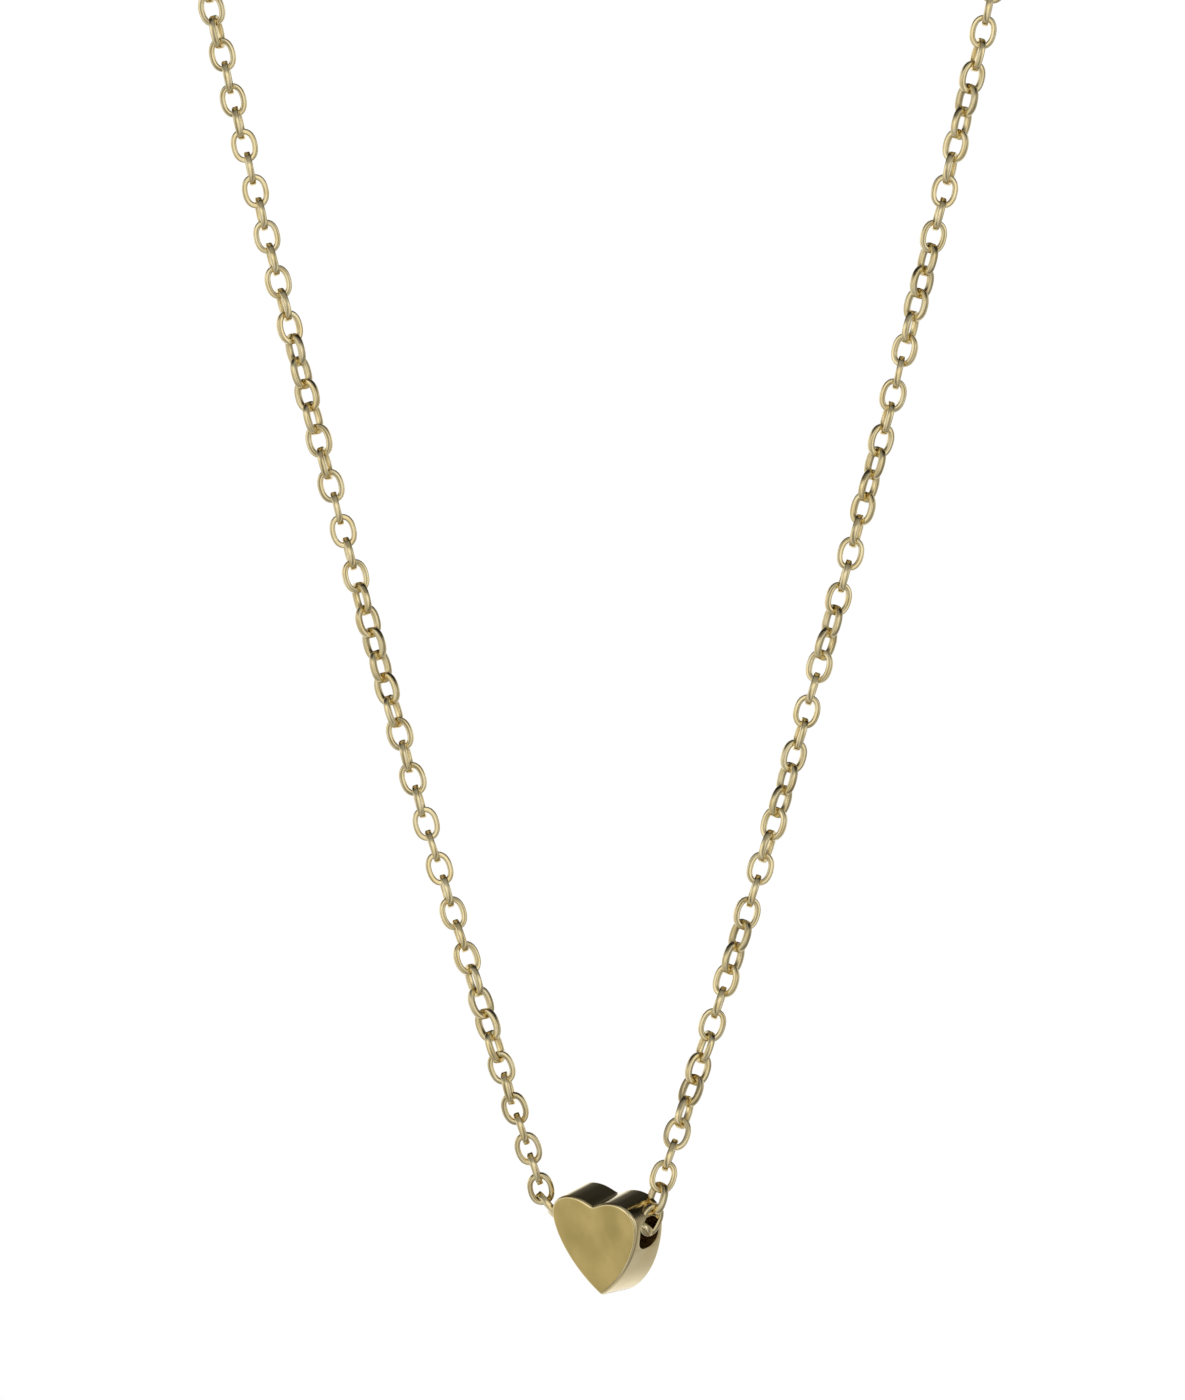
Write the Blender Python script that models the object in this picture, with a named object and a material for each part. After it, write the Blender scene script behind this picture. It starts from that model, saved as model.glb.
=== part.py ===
"""Pendant necklace: a heart slider bead threaded on a flat-wire cable chain.

Metres, +Z up, front towards -Y. The closed loop hangs in the XZ plane from the origin,
the inside of the loop at the nape. The heart is threaded on the chain at the bottom, and
a lobster clasp closes the loop at the top. The chain is built as runs of interlinked
links: eight-link runs down each side, a curved run into each mouth of the heart, and
twelve-link runs over the nape.
"""

import math

import bmesh
import bpy
import numpy as np
from mathutils import Matrix, Vector

MM = 0.001
NAME = "pendant_necklace"

# Chain, in millimetres.
PITCH = 1.80
LINK_WIDTH = 2.04
LINK_LENGTH = 2.65
WIRE = 0.42
SHOULDER = 0.56
BLUNT = 0.36
FREE_PLAY = 0.07
TURN_PER_LINK = 94.0

# Loop. A side hangs as a catenary loaded by the heart, and the nape is a round arc.
CATENARY = 73.1
LOADED_LENGTH = 216.0
BOTTOM_HALF_WIDTH = 4.2
BOTTOM_HEIGHT = 7.3
NAPE_RADIUS = 38.5
LEVELS = 9
RUN_LINKS = 8
MOUTH_LINKS = 9
MOUTH_LEAD = 2.9
BEND_OUT, BEND_UP, BEND_END = 2.4, 2.4, 2.0
NAPE_RUNS = 3

# Heart bead.
HEART_HALF_WIDTH = 4.12
HEART_TOP = 7.84
HEART_NOTCH = 7.33
HEART_LOBE = 2.0
HEART_SIDE = 6.1
HEART_THICKNESS = 3.46
HEART_EDGE = 0.26
CHANNEL_HEIGHT = 5.20
CHANNEL_TALL = 2.60
CHANNEL_WIDE = 2.30
CHANNEL_CORNER = 1.0
CHANNEL_LINKS = 5
CHANNEL_SHIFT = 0.2
CHANNEL_TURN = 60.0
CHANNEL_TURN_PER_LINK = 90.0
HEART_YAW = math.radians(-40.2)
HEART_PITCH = math.radians(17.8)
HEART_ROLL = math.radians(7.8)
HEART_TIP_X = 1.11
HEART_TIP_Z = 0.51

# Clasp and rings. Outlines are in millimetres from the middle of the nape.
CLASP_THICKNESS = 1.30
LEVER_THICKNESS = 0.60
PIN_RADIUS = 0.24
PIVOT_X, PIVOT_Z = -3.2, 0.1
EYE_RADIUS, EYE_HOLE, EYE_THICKNESS = 1.05, 0.52, 0.80
EYE_X, EYE_Z = -5.1, -0.72
RING_WIRE = 0.50
JUMP_RING_RADIUS, JUMP_RING_X = 1.30, -6.40
END_RING_RADIUS, END_RING_X, END_RING_Z = 1.90, 4.35, -0.45
LEFT_STOP, RIGHT_STOP = 7.42, 5.97
CLAW = [
    (-4.2, 0.9),
    (-4.9, 0.1),
    (-4.2, -0.9),
    (-2.8, -1.8),
    (-0.6, -2.3),
    (1.6, -2.2),
    (3.4, -1.4),
    (4.3, 0.0),
    (4.15, 1.4),
    (3.2, 2.3),
    (2.75, 1.8),
    (3.2, 1.1),
    (3.3, 0.1),
    (2.6, -0.8),
    (1.2, -1.3),
    (-0.6, -1.3),
    (-2.0, -0.6),
    (-2.4, 0.5),
    (-3.0, 1.0),
]
LEVER_SLOT = [(-3.95, -0.65), (-1.5, -0.65), (-1.5, 3.0), (-3.95, 3.0)]
LEVER = [
    (-3.6, -0.25),
    (-2.85, -0.25),
    (-2.5, 0.3),
    (-1.9, 1.0),
    (-0.6, 1.55),
    (1.2, 1.8),
    (2.6, 1.85),
    (2.62, 2.3),
    (1.2, 2.28),
    (-0.6, 2.1),
    (-1.7, 1.9),
    (-2.1, 2.5),
    (-2.7, 2.3),
    (-3.4, 1.2),
    (-3.75, 0.5),
]

GOLD = (0.62, 0.45, 0.19, 1.0)
PALE_GOLD = (0.80, 0.62, 0.33, 1.0)


def clear_scene():
    for item in list(bpy.data.objects):
        bpy.data.objects.remove(item)
    for item in list(bpy.data.collections):
        bpy.data.collections.remove(item)


def new_collection(name, parent):
    made = bpy.data.collections.new(name)
    parent.children.link(made)
    return made


def material(name, colour, roughness):
    made = bpy.data.materials.new(name)
    made.use_nodes = True
    shader = made.node_tree.nodes["Principled BSDF"]
    shader.inputs["Base Color"].default_value = colour
    shader.inputs["Metallic"].default_value = 1.0
    shader.inputs["Roughness"].default_value = roughness
    return made


# The route of the chain, in millimetres above the tip of the heart.


def catenary(s):
    """Half width and height of a hanging side, s along it from above the mouth."""
    c, s0 = CATENARY, LOADED_LENGTH
    x = BOTTOM_HALF_WIDTH + c * (math.asinh((s + s0) / c) - math.asinh(s0 / c))
    z = BOTTOM_HEIGHT + math.hypot(c, s + s0) - math.hypot(c, s0)
    return x, z


def lean(s):
    return math.atan2(CATENARY, s + LOADED_LENGTH)


def nape_join():
    """Where the hanging side meets the nape arc without a corner."""
    low, high = 40.0, 400.0
    for _ in range(60):
        s = (low + high) / 2
        if catenary(s)[0] < NAPE_RADIUS * math.cos(lean(s)):
            low = s
        else:
            high = s
    return low


JOIN = nape_join()
NAPE_CENTRE = catenary(JOIN)[1] + NAPE_RADIUS * math.sin(lean(JOIN))
TOP = NAPE_CENTRE + NAPE_RADIUS
FIRST_LEVEL = MOUTH_LINKS * PITCH - MOUTH_LEAD
LAST_LEVEL = FIRST_LEVEL + (LEVELS - 1) * RUN_LINKS * PITCH
NAPE_LENGTH = JOIN - LAST_LEVEL + NAPE_RADIUS * (math.pi / 2 + lean(JOIN))


def place(x, y, z):
    """A point given above the heart's tip, in the object's frame and in metres."""
    return Vector((x, y, z - TOP + LINK_WIDTH / 2)) * MM


def side_point(side, s):
    x, z = catenary(s)
    return place(side * x, 0.0, z)


def nape_point(side, t):
    """t along the chain from the top hinge towards the middle of the nape."""
    s = LAST_LEVEL + t
    if s < JOIN:
        return side_point(side, s)
    turned = (s - JOIN) / NAPE_RADIUS - lean(JOIN)
    return place(
        side * NAPE_RADIUS * math.cos(turned),
        0.0,
        NAPE_CENTRE + NAPE_RADIUS * math.sin(turned),
    )


HEART_TURN = (
    Matrix.Rotation(HEART_YAW, 3, "Z")
    @ Matrix.Rotation(HEART_PITCH, 3, "X")
    @ Matrix.Rotation(HEART_ROLL, 3, "Y")
)
CHANNEL_AXIS = HEART_TURN @ Vector((1, 0, 0))
HEART_UP = HEART_TURN @ Vector((0, 0, 1))
CHANNEL_CENTRE = place(
    HEART_TIP_X + HEART_UP.x * CHANNEL_HEIGHT,
    0.0,
    HEART_TIP_Z + HEART_UP.z * CHANNEL_HEIGHT,
)
CLASP_CENTRE = place(0.0, 0.0, TOP)


def mouth(side):
    reach = (side * CHANNEL_LINKS * PITCH / 2 + CHANNEL_SHIFT) * MM
    return CHANNEL_CENTRE + CHANNEL_AXIS * reach


def stations(points, count):
    """count + 1 points spread evenly along a line of points."""
    steps = [(b - a).length for a, b in zip(points, points[1:])]
    along = np.concatenate([[0.0], np.cumsum(steps)])
    wanted = np.linspace(0.0, along[-1], count + 1)
    table = np.array([list(p) for p in points])
    columns = [np.interp(wanted, along, table[:, k]) for k in range(3)]
    return [Vector(row) for row in zip(*columns)]


def drawn_back(side, s):
    """A point of the lowest run, which leans out of the loop's plane to reach a mouth."""
    share = (s + MOUTH_LEAD) / (FIRST_LEVEL + MOUTH_LEAD)
    point = side_point(side, s)
    point.y = mouth(side).y * (1 - share) ** 2 * (1 + 2 * share)
    return point


def mouth_route(side):
    """From a mouth of the heart, round a tight bend, up to the lowest hinge."""
    start = mouth(side)
    after = drawn_back(side, BEND_END)
    uphill = (drawn_back(side, BEND_END + 1) - after).normalized()
    out = start + side * CHANNEL_AXIS * BEND_OUT * MM
    back = after - uphill * BEND_UP * MM
    points = []
    for k in range(24):
        t = k / 24
        u = 1 - t
        weights = (u**3, 3 * u * u * t, 3 * u * t * t, t**3)
        corners = zip(weights, (start, out, back, after))
        points.append(sum((w * p for w, p in corners), Vector()))
    for k in range(41):
        points.append(drawn_back(side, BEND_END + (FIRST_LEVEL - BEND_END) * k / 40))
    return stations(points, MOUTH_LINKS)


# Chain links.


def link_end(free):
    """The right half of a link's end, from its shoulder: a point, or blunt if free."""
    half = LINK_WIDTH / 2 - WIRE / 2
    end = LINK_LENGTH / 2 - WIRE / 2
    if free:
        return [(half, SHOULDER), (BLUNT, end + FREE_PLAY)]
    return [(half, SHOULDER), (0.0, end)]


def link_corners(low_free, high_free):
    """Outer and inner corners of a link's flat outline, across and along, in mm."""
    high = link_end(high_free)
    low = [(x, -y) for x, y in link_end(low_free)]
    line = high + [(-x, y) for x, y in high[::-1] if x]
    line += [(-x, y) for x, y in low] + [(x, y) for x, y in low[::-1] if x]
    line = [Vector(point) for point in line]
    corners = []
    for k, point in enumerate(line):
        before = (point - line[k - 1]).normalized()
        after = (line[(k + 1) % len(line)] - point).normalized()
        out_before = Vector((before.y, -before.x))
        out_after = Vector((after.y, -after.x))
        out = (out_before + out_after).normalized()
        reach = WIRE / 2 / out.dot(out_after)
        corners.append((point + out * reach, point - out * reach))
    return corners


def link_frame(low, high, turn):
    along = (high - low).normalized()
    across = along.cross(Vector((0, 1, 0))).normalized()
    across = Matrix.Rotation(turn, 3, along) @ across
    return along, across, along.cross(across)


def add_link(mesh, low, high, turn, free, origin):
    """One link from contact to contact, as a ring of square wire.

    turn is its turn about its own length, and origin is where its node stands.
    """
    along, across, thin = link_frame(low, high, turn)
    middle = (low + high) / 2 - origin
    rings = []
    for outer, inner in link_corners(*free):
        ring = []
        for flat, side in ((outer, 1), (inner, 1), (inner, -1), (outer, -1)):
            offset = across * flat.x + along * flat.y + thin * (side * WIRE / 2)
            ring.append(mesh.verts.new(middle + offset * MM))
        rings.append(ring)
    for k, ring in enumerate(rings):
        following = rings[(k + 1) % len(rings)]
        for m in range(4):
            n = (m + 1) % 4
            mesh.faces.new((ring[m], ring[n], following[n], following[m]))


def finish_mesh(mesh, name):
    bmesh.ops.recalc_face_normals(mesh, faces=mesh.faces[:])
    data = bpy.data.meshes.new(name)
    mesh.to_mesh(data)
    mesh.free()
    return data


class Builder:
    """Puts nodes into the object's collection, and cutters into their own."""

    def __init__(self):
        scene = bpy.context.scene
        scene.unit_settings.system = "METRIC"
        scene.unit_settings.scale_length = 1.0
        self.parts = new_collection(NAME, scene.collection)
        self.cutters = new_collection("cutters", scene.collection)
        self.places = {}

    def empty(self, name, location, parent=None):
        made = bpy.data.objects.new(name, None)
        made.empty_display_size = 2 * MM
        self.parts.objects.link(made)
        self.put(made, location, parent)
        return made

    def put(self, item, location, parent):
        self.places[item.name] = Vector(location)
        item.location = location
        if parent is not None:
            item.parent = parent
            item.location = Vector(location) - self.places[parent.name]

    def node(self, name, data, location, parent, colour, roughness):
        made = bpy.data.objects.new(name, data)
        made.data.materials.append(material(name, colour, roughness))
        self.parts.objects.link(made)
        self.put(made, location, parent)
        return made

    def cutter(self, name, data, location, parent, collection=None):
        made = bpy.data.objects.new(name, data)
        made.hide_render = True
        made.display_type = "WIRE"
        (collection or self.cutters).objects.link(made)
        self.put(made, location, parent)
        return made

    def boolean(self, item, operation, other):
        made = item.modifiers.new(other.name, "BOOLEAN")
        made.operation = operation
        made.solver = "EXACT"
        if isinstance(other, bpy.types.Collection):
            made.operand_type = "COLLECTION"
            made.collection = other
        else:
            made.object = other
        return made

    def run(self, name, points, first, parent):
        """A run of links joined where they touch, with free play at its two ends."""
        origin = self.places[parent.name] if parent else points[0]
        joined = new_collection(name + "_links", self.cutters)
        last = len(points) - 2
        item = None
        for k in range(last + 1):
            free = k == 0, k == last
            mesh = bmesh.new()
            turn = math.radians(TURN_PER_LINK * (first + k))
            ends = points[k], points[k + 1]
            add_link(mesh, *ends, turn, free, origin)
            data = finish_mesh(mesh, f"{name}_{k}")
            if item is None:
                item = self.node(name, data, origin, parent, PALE_GOLD, 0.22)
            else:
                self.cutter(f"{name}_link_{k}", data, origin, parent, joined)
        if last:
            self.boolean(item, "UNION", joined)
        return item


def cylinder(radius, length, sides):
    """A round bar along Y."""
    mesh = bmesh.new()
    bmesh.ops.create_cone(
        mesh,
        cap_ends=True,
        segments=sides,
        radius1=radius * MM,
        radius2=radius * MM,
        depth=length * MM,
    )
    upright = Matrix.Rotation(math.pi / 2, 4, "X")
    bmesh.ops.transform(mesh, matrix=upright, verts=mesh.verts[:])
    return mesh


def prism(outline, thickness, back_outline=None):
    """A flat outline in XZ, in millimetres, made solid along Y to itself or another."""
    mesh = bmesh.new()
    near, far = -thickness / 2 * MM, thickness / 2 * MM
    front = [mesh.verts.new((x * MM, near, z * MM)) for x, z in outline]
    back = [mesh.verts.new((x * MM, far, z * MM)) for x, z in back_outline or outline]
    mesh.faces.new(front)
    mesh.faces.new(back[::-1])
    for k in range(len(outline)):
        n = (k + 1) % len(outline)
        mesh.faces.new((front[n], front[k], back[k], back[n]))
    return mesh


def torus(radius, wire, around, sides, turn):
    mesh = bmesh.new()
    rings = []
    for k in range(around):
        a = 2 * math.pi * k / around
        ring = []
        for m in range(sides):
            b = 2 * math.pi * (m + 0.5) / sides
            r = radius + wire / 2 * math.cos(b)
            point = Vector((r * math.cos(a), r * math.sin(a), wire / 2 * math.sin(b)))
            ring.append(mesh.verts.new(turn @ point * MM))
        rings.append(ring)
    for k, ring in enumerate(rings):
        following = rings[(k + 1) % around]
        for m in range(sides):
            n = (m + 1) % sides
            mesh.faces.new((ring[m], ring[n], following[n], following[m]))
    return mesh


def bezier(a, b, c, d, count):
    """Points along a cubic curve, without its last one."""
    found = []
    for k in range(count):
        t = k / count
        u = 1 - t
        weights = (u**3, 3 * u * u * t, 3 * u * t * t, t**3)
        found.append(
            tuple(sum(w * p[i] for w, p in zip(weights, (a, b, c, d))) for i in (0, 1))
        )
    return found


def heart_outline(under, tip):
    """An outline from the notch round the right lobe to the tip and back.

    under is the point that the flank's curve is drawn towards below its widest place.
    """
    wide, top, lobe_x = HEART_HALF_WIDTH, HEART_TOP, HEART_LOBE
    notch = (0.0, HEART_NOTCH)
    lobe = (lobe_x, top)
    side = (wide, HEART_SIDE)
    right = bezier(notch, (0.45, HEART_NOTCH + 0.08), (lobe_x - 1.0, top), lobe, 5)
    right += bezier(lobe, (lobe_x + 1.1, top), (wide, HEART_SIDE + 1.1), side, 6)
    right += bezier(side, (wide, HEART_SIDE - 1.6), under, tip, 9)
    right.append(tip)
    left = [(-x, z) for x, z in right[1:]]
    return right[::-1] + left


def rounded_slot(wide, tall, corner, each):
    """A rounded rectangle, across and up."""
    found = []
    for k, (sx, sz) in enumerate(((1, 1), (-1, 1), (-1, -1), (1, -1))):
        for m in range(each + 1):
            a = math.pi / 2 * (k + m / each)
            found.append(
                (
                    sx * (wide / 2 - corner) + corner * math.cos(a),
                    sz * (tall / 2 - corner) + corner * math.sin(a),
                )
            )
    return found


def heart(builder, parent):
    """The solid heart, its flanks fuller towards the back, and the channel through it."""
    front = heart_outline((2.75, 1.9), (0.10, 0.05))
    back = heart_outline((3.1, 0.9), (0.35, -0.55))
    mesh = prism(front, HEART_THICKNESS, back)
    bmesh.ops.recalc_face_normals(mesh, faces=mesh.faces[:])
    rims = [e for e in mesh.edges if abs(e.verts[0].co.y - e.verts[1].co.y) < 1e-7]
    bmesh.ops.bevel(
        mesh,
        geom=rims,
        offset=HEART_EDGE * MM,
        segments=2,
        profile=0.5,
        affect="EDGES",
    )
    down = Matrix.Translation((0, 0, -CHANNEL_HEIGHT * MM))
    turned = HEART_TURN.to_4x4() @ down
    bmesh.ops.transform(mesh, matrix=turned, verts=mesh.verts[:])
    data = finish_mesh(mesh, "heart_bead")
    item = builder.node("heart_bead", data, CHANNEL_CENTRE, parent, GOLD, 0.3)
    slot = prism(rounded_slot(CHANNEL_WIDE, CHANNEL_TALL, CHANNEL_CORNER, 4), 12.0)
    across = Matrix.Rotation(-math.pi / 2, 4, "Z")
    whole = HEART_TURN.to_4x4() @ across
    bmesh.ops.transform(slot, matrix=whole, verts=slot.verts[:])
    data = finish_mesh(slot, "heart_channel")
    cut = builder.cutter("heart_channel", data, CHANNEL_CENTRE, parent)
    builder.boolean(item, "DIFFERENCE", cut)
    return item


def channel_links(builder, parent):
    """The links inside the bead, each its own ring."""
    ends = [
        mouth(-1).lerp(mouth(1), k / CHANNEL_LINKS) for k in range(CHANNEL_LINKS + 1)
    ]
    origin = builder.places[parent.name]
    for k in range(CHANNEL_LINKS):
        mesh = bmesh.new()
        turn = math.radians(CHANNEL_TURN + CHANNEL_TURN_PER_LINK * k)
        add_link(mesh, ends[k], ends[k + 1], turn, (True, True), origin)
        data = finish_mesh(mesh, f"channel_link_{k + 1}")
        name = f"channel_link_{k + 1}"
        builder.node(name, data, origin, parent, PALE_GOLD, 0.22)


def nape_runs(builder, side, word, root, stop):
    """The runs over the nape, from a ring down to the top hinge. Says how many links."""
    reach = NAPE_LENGTH - stop
    total = round(reach / PITCH)
    each = total // NAPE_RUNS
    for k in range(NAPE_RUNS):
        first = k * each
        last = total if k == NAPE_RUNS - 1 else first + each
        numbers = range(first, last + 1)
        route = [nape_point(side, reach * (1 - n / total)) for n in numbers]
        builder.run(f"{word}_nape_run_{k + 1}", route, first, root)
    return total


def side_runs(builder, side, word, root, number):
    """The levels of one side, from the nape down to the mouth of the heart."""
    parent = root
    for level in range(LEVELS):
        s = LAST_LEVEL - level * RUN_LINKS * PITCH
        hinge = builder.empty(f"{word}_hinge_{level + 1}", side_point(side, s), parent)
        name = f"{word}_run_{level + 1}"
        if level < LEVELS - 1:
            route = [side_point(side, s - k * PITCH) for k in range(RUN_LINKS + 1)]
        else:
            route = mouth_route(side)[::-1]
        builder.run(name, route, number + level * RUN_LINKS, hinge)
        parent = hinge
    return parent


def bored(builder, item, name, radius, x, z, parent):
    """A round hole through a flat piece of the clasp, along Y."""
    mesh = cylinder(radius, 4.0, 12)
    spot = CLASP_CENTRE + Vector((x, 0, z)) * MM
    cut = builder.cutter(name, finish_mesh(mesh, name), spot, parent)
    builder.boolean(item, "DIFFERENCE", cut)


def clasp(builder, root):
    """The lobster clasp: the claw with its eye, and the sprung lever on its pin."""
    data = finish_mesh(prism(CLAW, CLASP_THICKNESS), "clasp_claw")
    item = builder.node("clasp_claw", data, CLASP_CENTRE, root, GOLD, 0.25)
    boss = finish_mesh(cylinder(EYE_RADIUS, EYE_THICKNESS, 14), "clasp_eye_boss")
    spot = CLASP_CENTRE + Vector((EYE_X, 0, EYE_Z)) * MM
    builder.boolean(item, "UNION", builder.cutter("clasp_eye_boss", boss, spot, root))
    bored(builder, item, "clasp_eye_hole", EYE_HOLE, EYE_X, EYE_Z, root)
    slot = finish_mesh(prism(LEVER_SLOT, LEVER_THICKNESS + 0.1), "clasp_slot")
    cut = builder.cutter("clasp_slot", slot, CLASP_CENTRE, root)
    builder.boolean(item, "DIFFERENCE", cut)
    bored(builder, item, "clasp_pin_bore", PIN_RADIUS + 0.02, PIVOT_X, PIVOT_Z, root)
    centre = CLASP_CENTRE + Vector((PIVOT_X, 0, PIVOT_Z)) * MM
    pin = finish_mesh(cylinder(PIN_RADIUS, CLASP_THICKNESS, 12), "clasp_pin")
    builder.node("clasp_pin", pin, centre, root, GOLD, 0.25)
    hinge = builder.empty("clasp_lever_hinge", centre, root)
    outline = [(x - PIVOT_X, z - PIVOT_Z) for x, z in LEVER]
    data = finish_mesh(prism(outline, LEVER_THICKNESS), "clasp_lever")
    lever = builder.node("clasp_lever", data, centre, hinge, GOLD, 0.25)
    bored(builder, lever, "lever_bore", PIN_RADIUS + 0.02, PIVOT_X, PIVOT_Z, hinge)


def rings(builder, root):
    """The jump ring through the clasp's eye, and the end ring that the claw holds."""
    flat = Matrix.Identity(3)
    for name, radius, x, z in (
        ("jump_ring", JUMP_RING_RADIUS, JUMP_RING_X, EYE_Z),
        ("end_ring", END_RING_RADIUS, END_RING_X, END_RING_Z),
    ):
        data = finish_mesh(torus(radius, RING_WIRE, 16, 6, flat), name)
        spot = CLASP_CENTRE + Vector((x, 0, z)) * MM
        builder.node(name, data, spot, root, GOLD, 0.25)


def main():
    clear_scene()
    builder = Builder()
    root = builder.empty("nape", Vector((0, 0, 0)))
    number = nape_runs(builder, -1, "left", root, LEFT_STOP)
    last = side_runs(builder, -1, "left", root, number)
    number = nape_runs(builder, 1, "right", root, RIGHT_STOP)
    side_runs(builder, 1, "right", root, number)
    swing = builder.empty("pendant_swing", mouth(-1), last)
    channel_links(builder, swing)
    slide = builder.empty("heart_slide", CHANNEL_CENTRE, swing)
    heart(builder, slide)
    clasp(builder, root)
    rings(builder, root)


main()
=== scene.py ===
"""The looks of the pendant necklace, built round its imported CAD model.

Every chain run is redrawn with its real oval links of flat wire, the heart gets softened
edges, satin faces and polished sides, and the clasp is rounded as a cast one is. Sizes
named below are in millimetres, and the scene is in metres.
"""

import math
import random

import bmesh
import bpy
import numpy as np
from mathutils import Matrix, Vector

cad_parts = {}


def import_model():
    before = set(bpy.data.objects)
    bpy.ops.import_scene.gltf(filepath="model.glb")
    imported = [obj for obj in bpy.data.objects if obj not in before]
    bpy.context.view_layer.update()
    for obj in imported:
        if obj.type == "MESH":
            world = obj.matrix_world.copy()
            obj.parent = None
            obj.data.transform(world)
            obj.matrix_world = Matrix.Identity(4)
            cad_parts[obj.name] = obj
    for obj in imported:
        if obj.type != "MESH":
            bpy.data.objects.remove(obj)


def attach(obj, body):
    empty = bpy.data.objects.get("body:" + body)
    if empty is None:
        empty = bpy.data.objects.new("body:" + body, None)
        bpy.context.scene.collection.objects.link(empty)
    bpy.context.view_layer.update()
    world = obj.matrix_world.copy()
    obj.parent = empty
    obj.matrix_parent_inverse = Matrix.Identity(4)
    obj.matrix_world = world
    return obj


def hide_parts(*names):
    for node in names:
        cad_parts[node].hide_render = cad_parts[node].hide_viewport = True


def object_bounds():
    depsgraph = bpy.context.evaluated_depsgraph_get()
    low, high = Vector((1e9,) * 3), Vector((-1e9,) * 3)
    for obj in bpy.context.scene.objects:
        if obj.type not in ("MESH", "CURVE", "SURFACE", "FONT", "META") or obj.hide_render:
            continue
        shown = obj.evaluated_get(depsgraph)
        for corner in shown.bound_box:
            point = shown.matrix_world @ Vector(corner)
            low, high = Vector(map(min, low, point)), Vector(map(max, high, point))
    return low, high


MM = 0.001

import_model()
cad_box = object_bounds()

# The chain and its route. The sizes are the CAD model's own, apart from the wire's section,
# the links' sway, and the way into the heart (BEND_OUT, CHANNEL_SHIFT and CHANNEL_LIFT),
# which is drawn tighter and higher than the CAD has it.
PITCH = 1.80
LINK_WIDTH = 2.04
LINK_LENGTH = 2.65
WIRE_WIDE = 0.43
WIRE_THICK = 0.50
WIRE_CORNER = 0.10
LINK_SWAY = 6.0
CATENARY = 73.1
LOADED_LENGTH = 216.0
BOTTOM_HALF_WIDTH = 4.2
BOTTOM_HEIGHT = 7.3
NAPE_RADIUS = 38.5
LEVELS = 9
RUN_LINKS = 8
MOUTH_LINKS = 9
MOUTH_LEAD = 2.9
BEND_OUT = {-1: 1.4, 1: 0.6}
BEND_UP, BEND_END = 2.4, 2.0
BEND_STEPS, RISE_STEPS = 24, 40
NAPE_RUNS = 3
LEFT_STOP, RIGHT_STOP = 7.42, 5.97

# How far each side has turned about itself, as (height above the heart's tip, degrees).
TWIST = {
    -1: [(9, 0), (18, 15), (22, 45), (26, 75), (35, 90), (43, 105), (50, 135),
         (55, 165), (60, 180), (65, 195), (71.5, 225), (77, 255), (88, 270), (99, 285)],
    1: [(7.2, -45), (9, -15), (11, 0), (21.4, 90), (32, 180), (45.8, 270), (56, 360),
        (70, 450), (84, 540), (99, 630)],
}

# The heart bead.
HEART_HALF_WIDTH = 4.12
HEART_TOP = 7.84
HEART_NOTCH = 7.33
HEART_LOBE = 2.0
HEART_SIDE = 6.1
HEART_THICKNESS = 3.46
HEART_EDGE = 0.26
HEART_EDGE_STEPS = 6
FLAT_FACE = 0.99
FRONT_FLANK, FRONT_TIP = (2.75, 1.9), (0.10, 0.05)
BACK_FLANK, BACK_TIP = (3.1, 0.9), (0.35, -0.55)
MOUTH_EDGE = 0.09
MOUTH_EDGE_STEPS = 3
MOUTH_EDGE_ANGLE = 40.0
CHANNEL_HEIGHT = 5.20
CHANNEL_TALL = 2.60
CHANNEL_WIDE = 2.30
CHANNEL_CORNER = 1.0
CHANNEL_CORNER_STEPS = 10
CHANNEL_CUT = 12.0
CHANNEL_LINKS = 5
CHANNEL_SHIFT = -0.75
CHANNEL_LIFT = 0.22
CHANNEL_TURN = 60.0
HEART_YAW = math.radians(-40.2)
HEART_PITCH = math.radians(17.8)
HEART_ROLL = math.radians(7.8)
HEART_TIP_X = 1.11
HEART_TIP_Z = 0.51

# The clasp and its rings, outlined as in the CAD model. CREASE is the angle in degrees
# above which an edge of the clasp stays crisp.
CLASP_THICKNESS = 1.30
CLAW_RIM, EYE_RIM, LEVER_RIM, PIN_RIM = 0.22, 0.2, 0.14, 0.06
HOLE_CUT = 4.0
SLOT_PLAY = 0.1
LEVER_THICKNESS = 0.60
PIN_RADIUS = 0.24
PIN_PLAY = 0.004
CREASE = 50.0
PIVOT_X, PIVOT_Z = -3.2, 0.1
EYE_RADIUS, EYE_HOLE, EYE_THICKNESS = 1.05, 0.52, 0.80
EYE_X, EYE_Z = -5.1, -0.72
RING_WIRE = 0.50
RING_STEPS, RING_SIDES = 72, 16
JUMP_RING_RADIUS, JUMP_RING_X = 1.30, -6.40
END_RING_RADIUS, END_RING_X, END_RING_Z = 1.90, 4.35, -0.45
CLAW = [
    (-4.2, 0.9), (-4.9, 0.1), (-4.2, -0.9), (-2.8, -1.8), (-0.6, -2.3), (1.6, -2.2),
    (3.4, -1.4), (4.3, 0.0), (4.15, 1.4), (3.2, 2.3), (2.75, 1.8), (3.2, 1.1),
    (3.3, 0.1), (2.6, -0.8), (1.2, -1.3), (-0.6, -1.3), (-2.0, -0.6), (-2.4, 0.5),
    (-3.0, 1.0),
]
LEVER_SLOT = [(-3.95, -0.65), (-1.5, -0.65), (-1.5, 3.0), (-3.95, 3.0)]
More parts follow.
